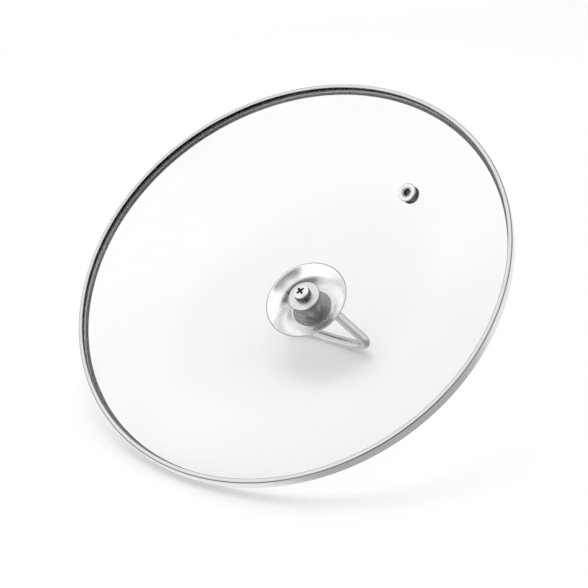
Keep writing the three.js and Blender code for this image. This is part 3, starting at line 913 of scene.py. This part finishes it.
def lower_gasket():
    low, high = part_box("inner_gasket")
    face = low.z + GASKET_THICKNESS
    section = outline([
        (BOSS_BORE / 2, low.z),
        (high.x, low.z, GASKET_ROUND),
        (high.x, face, GASKET_ROUND),
        (SLEEVE_DIAMETER / 2, face),
        (SLEEVE_DIAMETER / 2, high.z),
        (BOSS_BORE / 2, high.z),
    ])
    gasket = turned("lower_gasket", section, HUB_SEGMENTS)
    smooth(gasket)
    return gasket


def upper_gasket():
    low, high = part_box("outer_gasket")
    section = outline([
        (BOSS_BORE / 2, low.z),
        (high.x, low.z, GASKET_ROUND),
        (high.x, high.z, GASKET_ROUND),
        (BOSS_BORE / 2, high.z),
    ])
    gasket = turned("upper_gasket", section, HUB_SEGMENTS)
    smooth(gasket)
    return gasket


grey_silicone = silicone_material("grey_silicone", GASKET_COLOUR)
inner_ring = lower_gasket()
# The dish doesn't mirror this ring.
inner_ring.visible_glossy = False
fit(inner_ring, "inner_gasket", grey_silicone)
fit(upper_gasket(), "outer_gasket", grey_silicone)


# ---- Edged washer ----
# A stamped steel washer under the glass, with a rounded edge turned up towards it.
CUP_SHEET = 0.8 * MM
CUP_ROUND = 1.4 * MM


def edged_washer():
    low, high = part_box("cup_washer")
    section = outline([
        (BOSS_BORE / 2, low.z),
        (high.x, low.z, CUP_ROUND),
        (high.x, high.z, HEM),
        (high.x - CUP_SHEET, high.z, HEM),
        (high.x - CUP_SHEET, low.z + CUP_SHEET, CUP_ROUND - CUP_SHEET),
        (BOSS_BORE / 2, low.z + CUP_SHEET),
    ], steps=8)
    washer = turned("edged_washer", section, HUB_SEGMENTS)
    smooth(washer)
    return washer


WASHER_COLOUR = (0.82, 0.82, 0.815, 1)
# A painted dark reflection round the rounded edge of the washer.
WASHER_EDGE_SHADE_COLOUR = (0.3, 0.3, 0.3, 1)


def washer_edge_shade_group():
    """A mask of the outermost part of the washer, where a dark reflection is painted, darker than its face.
    """
    tree, given, made = node_group("washer_edge_painted_shade", [("Edge Radius", 0.0098)], [("Mask", "NodeSocketFloat")])
    inset = math_node(tree, "SUBTRACT", given["Edge Radius"], round_axis(tree)[0])
    tree.links.new(ramp(tree, inset, 0.0, 0.4 * MM, 1.0, 0.0), made["Mask"])
    return tree


washer_steel = steel_material("washer_steel", WASHER_COLOUR, 0.3, 0.3 * MM, 0.006 * MM)
edge = use_group(washer_steel.node_tree, washer_edge_shade_group(), Edge_Radius=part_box("cup_washer")[1].x)
# Paints the dark reflection on the washer's edge.
stain_or_shade(washer_steel, edge["Mask"], WASHER_EDGE_SHADE_COLOUR)
fit(edged_washer(), "cup_washer", washer_steel)


# ---- Split washer ----
# A spring washer of hard steel, cut through on a slant, between the screw's head and the edged washer.
SPLIT_GAP = 0.18  # radians
SPLIT_TURN = 0.45
SPLIT_SLANT = 0.09
SPLIT_EDGE = 0.15 * MM
SPRING_COLOUR = (0.2, 0.2, 0.2, 1)


def split_washer():
    low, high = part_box("spring_washer")
    inner, outer = BOSS_BORE / 2, high.x
    section = outline([
        (inner, low.z, SPLIT_EDGE),
        (outer, low.z, SPLIT_EDGE),
        (outer, high.z, SPLIT_EDGE),
        (inner, high.z, SPLIT_EDGE),
    ], steps=3)
    form = bmesh.new()
    count = 120
    rings = []
    for step in range(count + 1):
        turn = SPLIT_GAP + (2 * math.pi - 2 * SPLIT_GAP) * step / count
        ring = []
        for point in section:
            slant = SPLIT_SLANT * ((point.x - inner) / (outer - inner) * 2 - 1)
            angle = turn + slant + SPLIT_TURN
            ring.append(form.verts.new((point.x * math.cos(angle), point.x * math.sin(angle), point.y)))
        rings.append(ring)
    for before, after in zip(rings, rings[1:]):
        for index in range(len(section)):
            other = (index + 1) % len(section)
            form.faces.new((before[index], before[other], after[other], after[index]))
    form.faces.new(rings[0])
    form.faces.new(rings[-1])
    washer = add_object("split_washer", form)
    smooth(washer)
    return washer


spring_steel = steel_material("spring_steel", SPRING_COLOUR, 0.25, 0.25 * MM, 0.006 * MM)
fit(split_washer(), "spring_washer", spring_steel)


# ---- Cross-head screw ----
# A machine screw with a pan head and a cross recess, put in from under the glass.
HEAD_HEIGHT = 3.7 * MM
HEAD_ROUND = 1.3 * MM
SCREW_DIAMETER = 4.9 * MM
SCREW_POINT = 0.6 * MM
RECESS_SPAN = 5.1 * MM
RECESS_SLOT = 1.45 * MM
RECESS_DEPTH = 1.9 * MM
RECESS_TAPER = 0.72  # size of the recess at its bottom, as a share of its size at the face
RECESS_POINT = 0.7 * MM
RECESS_TURN = math.radians(32)
RECESS_SHADE_COLOUR = (0.05, 0.05, 0.05, 1)  # painted shade deep in the recess, and a painted dark reflection nearly as dark on the side of the head


def cross_cutter(bottom, mouth):
    """The cross recess as a solid: a cross that tapers to a shallow point."""
    form = bmesh.new()
    layers = []
    for height, size in ((mouth, 2 - RECESS_TAPER), (bottom, RECESS_TAPER)):
        long, short = RECESS_SPAN / 2 * size, RECESS_SLOT / 2 * size
        quarter = [(long, -short), (long, short), (short, short)]
        corners = [
            (x * math.cos(turn) - y * math.sin(turn), x * math.sin(turn) + y * math.cos(turn))
            for turn in (RECESS_TURN + quarters * math.pi / 2 for quarters in range(4))
            for x, y in quarter
        ]
        layers.append([form.verts.new((*corner, height)) for corner in corners])
    form.faces.new(layers[0])
    point = form.verts.new((0, 0, bottom + RECESS_POINT))
    for index in range(len(layers[0])):
        other = (index + 1) % len(layers[0])
        form.faces.new((layers[0][index], layers[0][other], layers[1][other], layers[1][index]))
        form.faces.new((layers[1][index], layers[1][other], point))
    return add_object("recess", form)


def cross_screw():
    low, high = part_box("handle_screw")
    base = low.z + HEAD_HEIGHT
    section = outline([
        (0, low.z),
        (high.x, low.z, HEAD_ROUND),
        (high.x, base, HEM),
        (SCREW_DIAMETER / 2, base),
        (SCREW_DIAMETER / 2, high.z - SCREW_POINT),
        (SCREW_DIAMETER / 2 - SCREW_POINT, high.z),
        (0, high.z),
    ], steps=10, closed=False)
    screw = turned("cross_screw", section, HUB_SEGMENTS, closed=False)
    cut(screw, cross_cutter(low.z + RECESS_DEPTH, low.z - RECESS_DEPTH))
    smooth(screw)
    return screw


def head_shade_group():
    """A mask of painted shade on the screw: deep in its recess, and a painted dark reflection on the side of
    its head.
    """
    tree, given, made = node_group(
        "painted_head_shade",
        [("Head Face", 0.0), ("Reach", 0.003), ("Side", 0.004)],
        [("Mask", "NodeSocketFloat")],
    )
    radius, _, z = round_axis(tree)
    near = math_node(tree, "LESS_THAN", radius, given["Reach"])
    height = math_node(tree, "SUBTRACT", z, given["Head Face"])
    recess = math_node(tree, "MULTIPLY", near, ramp(tree, height, 0.05 * MM, 0.3 * MM))
    side = math_node(tree, "GREATER_THAN", radius, given["Side"])
    side = math_node(tree, "MULTIPLY", side, ramp(tree, height, 0.5 * MM, 1.6 * MM, 0.0, 0.85))
    tree.links.new(math_node(tree, "MAXIMUM", recess, side), made["Mask"])
    return tree


def screw_material():
    material = steel_material("screw_steel", FASTENER_COLOUR, 0.25, 0.25 * MM, 0.006 * MM)
    low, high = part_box("handle_screw")
    dark = use_group(
        material.node_tree,
        head_shade_group(),
        Head_Face=low.z,
        Reach=RECESS_SPAN / 2 + 0.6 * MM,
        Side=high.x - HEAD_ROUND,
    )
    # Painted shade in the recess and a painted dark reflection on the side of the head.
    stain_or_shade(material, dark["Mask"], RECESS_SHADE_COLOUR)
    return material


fit(cross_screw(), "handle_screw", screw_material())


# ---- Steam vent ----
# A stainless eyelet with a stepped face goes through a black silicone grommet in the glass, and is
# rolled over a flat collar on the outside.
EYELET_BORE = 4.2 * MM
EYELET_WALL = 0.8 * MM
EYELET_FLANGE = 11.4 * MM
EYELET_FLANGE_THICKNESS = 1.1 * MM
EYELET_RECESS = 6.8 * MM
EYELET_RECESS_DEPTH = 0.5 * MM
EYELET_ROLL = 8.6 * MM
EYELET_ROLL_THICKNESS = 0.8 * MM
GROMMET_DIAMETER = 10.8 * MM
GROMMET_LIP = 0.9 * MM
COLLAR_DIAMETER = 10.2 * MM
COLLAR_THICKNESS = 0.7 * MM
GAP = 0.3 * MM
VENT_SEGMENTS = 96
EYELET_COLOUR = (0.92, 0.92, 0.915, 1)
# Painted shade in the step and the bore, and a painted dark reflection at the outer edge.
STEP_SHADE_COLOUR = (0.42, 0.42, 0.42, 1)
BORE_SHADE_COLOUR = (0.2, 0.2, 0.2, 1)
EDGE_SHADE_COLOUR = (0.4, 0.4, 0.4, 1)

vent_barrel = EYELET_BORE / 2 + EYELET_WALL
under_gap = GAP + outer_sphere - math.sqrt(outer_sphere**2 - (GROMMET_DIAMETER / 2) ** 2)
grommet_bottom = -under_gap - GROMMET_LIP
grommet_top = GLASS_THICKNESS + GAP + GROMMET_LIP
collar_bottom = grommet_top + GAP
flange_top = grommet_bottom - GAP
flange_face = flange_top - EYELET_FLANGE_THICKNESS
roll_bottom = collar_bottom + COLLAR_THICKNESS + GAP
roll_top = roll_bottom + EYELET_ROLL_THICKNESS


def vent_piece(name, corners):
    piece = turned(name, outline(corners), VENT_SEGMENTS, place=vent_place)
    smooth(piece)
    return piece


vent_grommet = vent_piece("eyelet_grommet", [
    (vent_barrel + GAP, grommet_bottom, HEM),
    (GROMMET_DIAMETER / 2, grommet_bottom, HEM),
    (GROMMET_DIAMETER / 2, -under_gap, HEM),
    (VENT_HOLE / 2 - GAP, -under_gap),
    (VENT_HOLE / 2 - GAP, GLASS_THICKNESS + GAP),
    (GROMMET_DIAMETER / 2, GLASS_THICKNESS + GAP, HEM),
    (GROMMET_DIAMETER / 2, grommet_top, HEM),
    (vent_barrel + GAP, grommet_top, HEM),
])
fit(vent_grommet, "vent_grommet", silicone_material("black_silicone", GROMMET_COLOUR))

vent_collar = vent_piece("eyelet_collar", [
    (vent_barrel + GAP, collar_bottom, HEM),
    (COLLAR_DIAMETER / 2, collar_bottom, HEM),
    (COLLAR_DIAMETER / 2, collar_bottom + COLLAR_THICKNESS, HEM),
    (vent_barrel + GAP, collar_bottom + COLLAR_THICKNESS, HEM),
])
fit(vent_collar, "vent_collar", turned_steel)

vent_eyelet = vent_piece("steam_eyelet", [
    (EYELET_BORE / 2, flange_face + EYELET_RECESS_DEPTH, HEM),
    (EYELET_RECESS / 2, flange_face + EYELET_RECESS_DEPTH, HEM / 2),
    (EYELET_RECESS / 2, flange_face, HEM),
    (EYELET_FLANGE / 2, flange_face, EYELET_FLANGE_THICKNESS * 0.7),
    (EYELET_FLANGE / 2, flange_top, HEM),
    (vent_barrel, flange_top),
    (vent_barrel, roll_bottom),
    (EYELET_ROLL / 2, roll_bottom, HEM),
    (EYELET_ROLL / 2, roll_top, EYELET_ROLL_THICKNESS / 2),
    (EYELET_BORE / 2, roll_top, EYELET_ROLL_THICKNESS / 2),
])


def eyelet_shade_group():
    """Masks of painted shade in the eyelet's bore and in the step round it, and of a painted dark reflection
    at its outer edge, by distance from its axis.
    """
    zones = [(label, "NodeSocketFloat") for label in ("Bore", "Step", "Edge")]
    tree, _, made = node_group("eyelet_painted_shade", [], zones)
    from_face = tree.nodes.new("ShaderNodeVectorMath")
    from_face.operation = "SUBTRACT"
    from_face.inputs[1].default_value = vent_place.translation
    tree.links.new(tree.nodes.new("ShaderNodeTexCoord").outputs["Object"], from_face.inputs[0])
    across = tree.nodes.new("ShaderNodeVectorMath")
    across.operation = "CROSS_PRODUCT"
    across.inputs[1].default_value = vent_axis
    tree.links.new(from_face.outputs["Vector"], across.inputs[0])
    length = tree.nodes.new("ShaderNodeVectorMath")
    length.operation = "LENGTH"
    tree.links.new(across.outputs["Vector"], length.inputs[0])
    distance = length.outputs["Value"]
    bore = EYELET_BORE / 2
    tree.links.new(ramp(tree, distance, bore + 0.1 * MM, bore + 0.35 * MM, 1.0, 0.0), made["Bore"])
    step = EYELET_RECESS / 2
    tree.links.new(ramp(tree, distance, step - 0.25 * MM, step, 1.0, 0.0), made["Step"])
    edge = EYELET_FLANGE / 2
    tree.links.new(ramp(tree, distance, edge - 0.5 * MM, edge - 0.15 * MM), made["Edge"])
    return tree


def eyelet_material():
    """Bright on its face, with painted shade in the step and the bore and a painted dark reflection at the
    outer edge.
    """
    material = steel_material("eyelet_steel", EYELET_COLOUR, 0.12, 0.3 * MM, 0.006 * MM)
    zones = use_group(material.node_tree, eyelet_shade_group())
    stain_or_shade(material, zones["Step"], STEP_SHADE_COLOUR)
    stain_or_shade(material, zones["Bore"], BORE_SHADE_COLOUR)
    stain_or_shade(material, zones["Edge"], EDGE_SHADE_COLOUR)
    return material


fit(vent_eyelet, "vent_eyelet", eyelet_material())
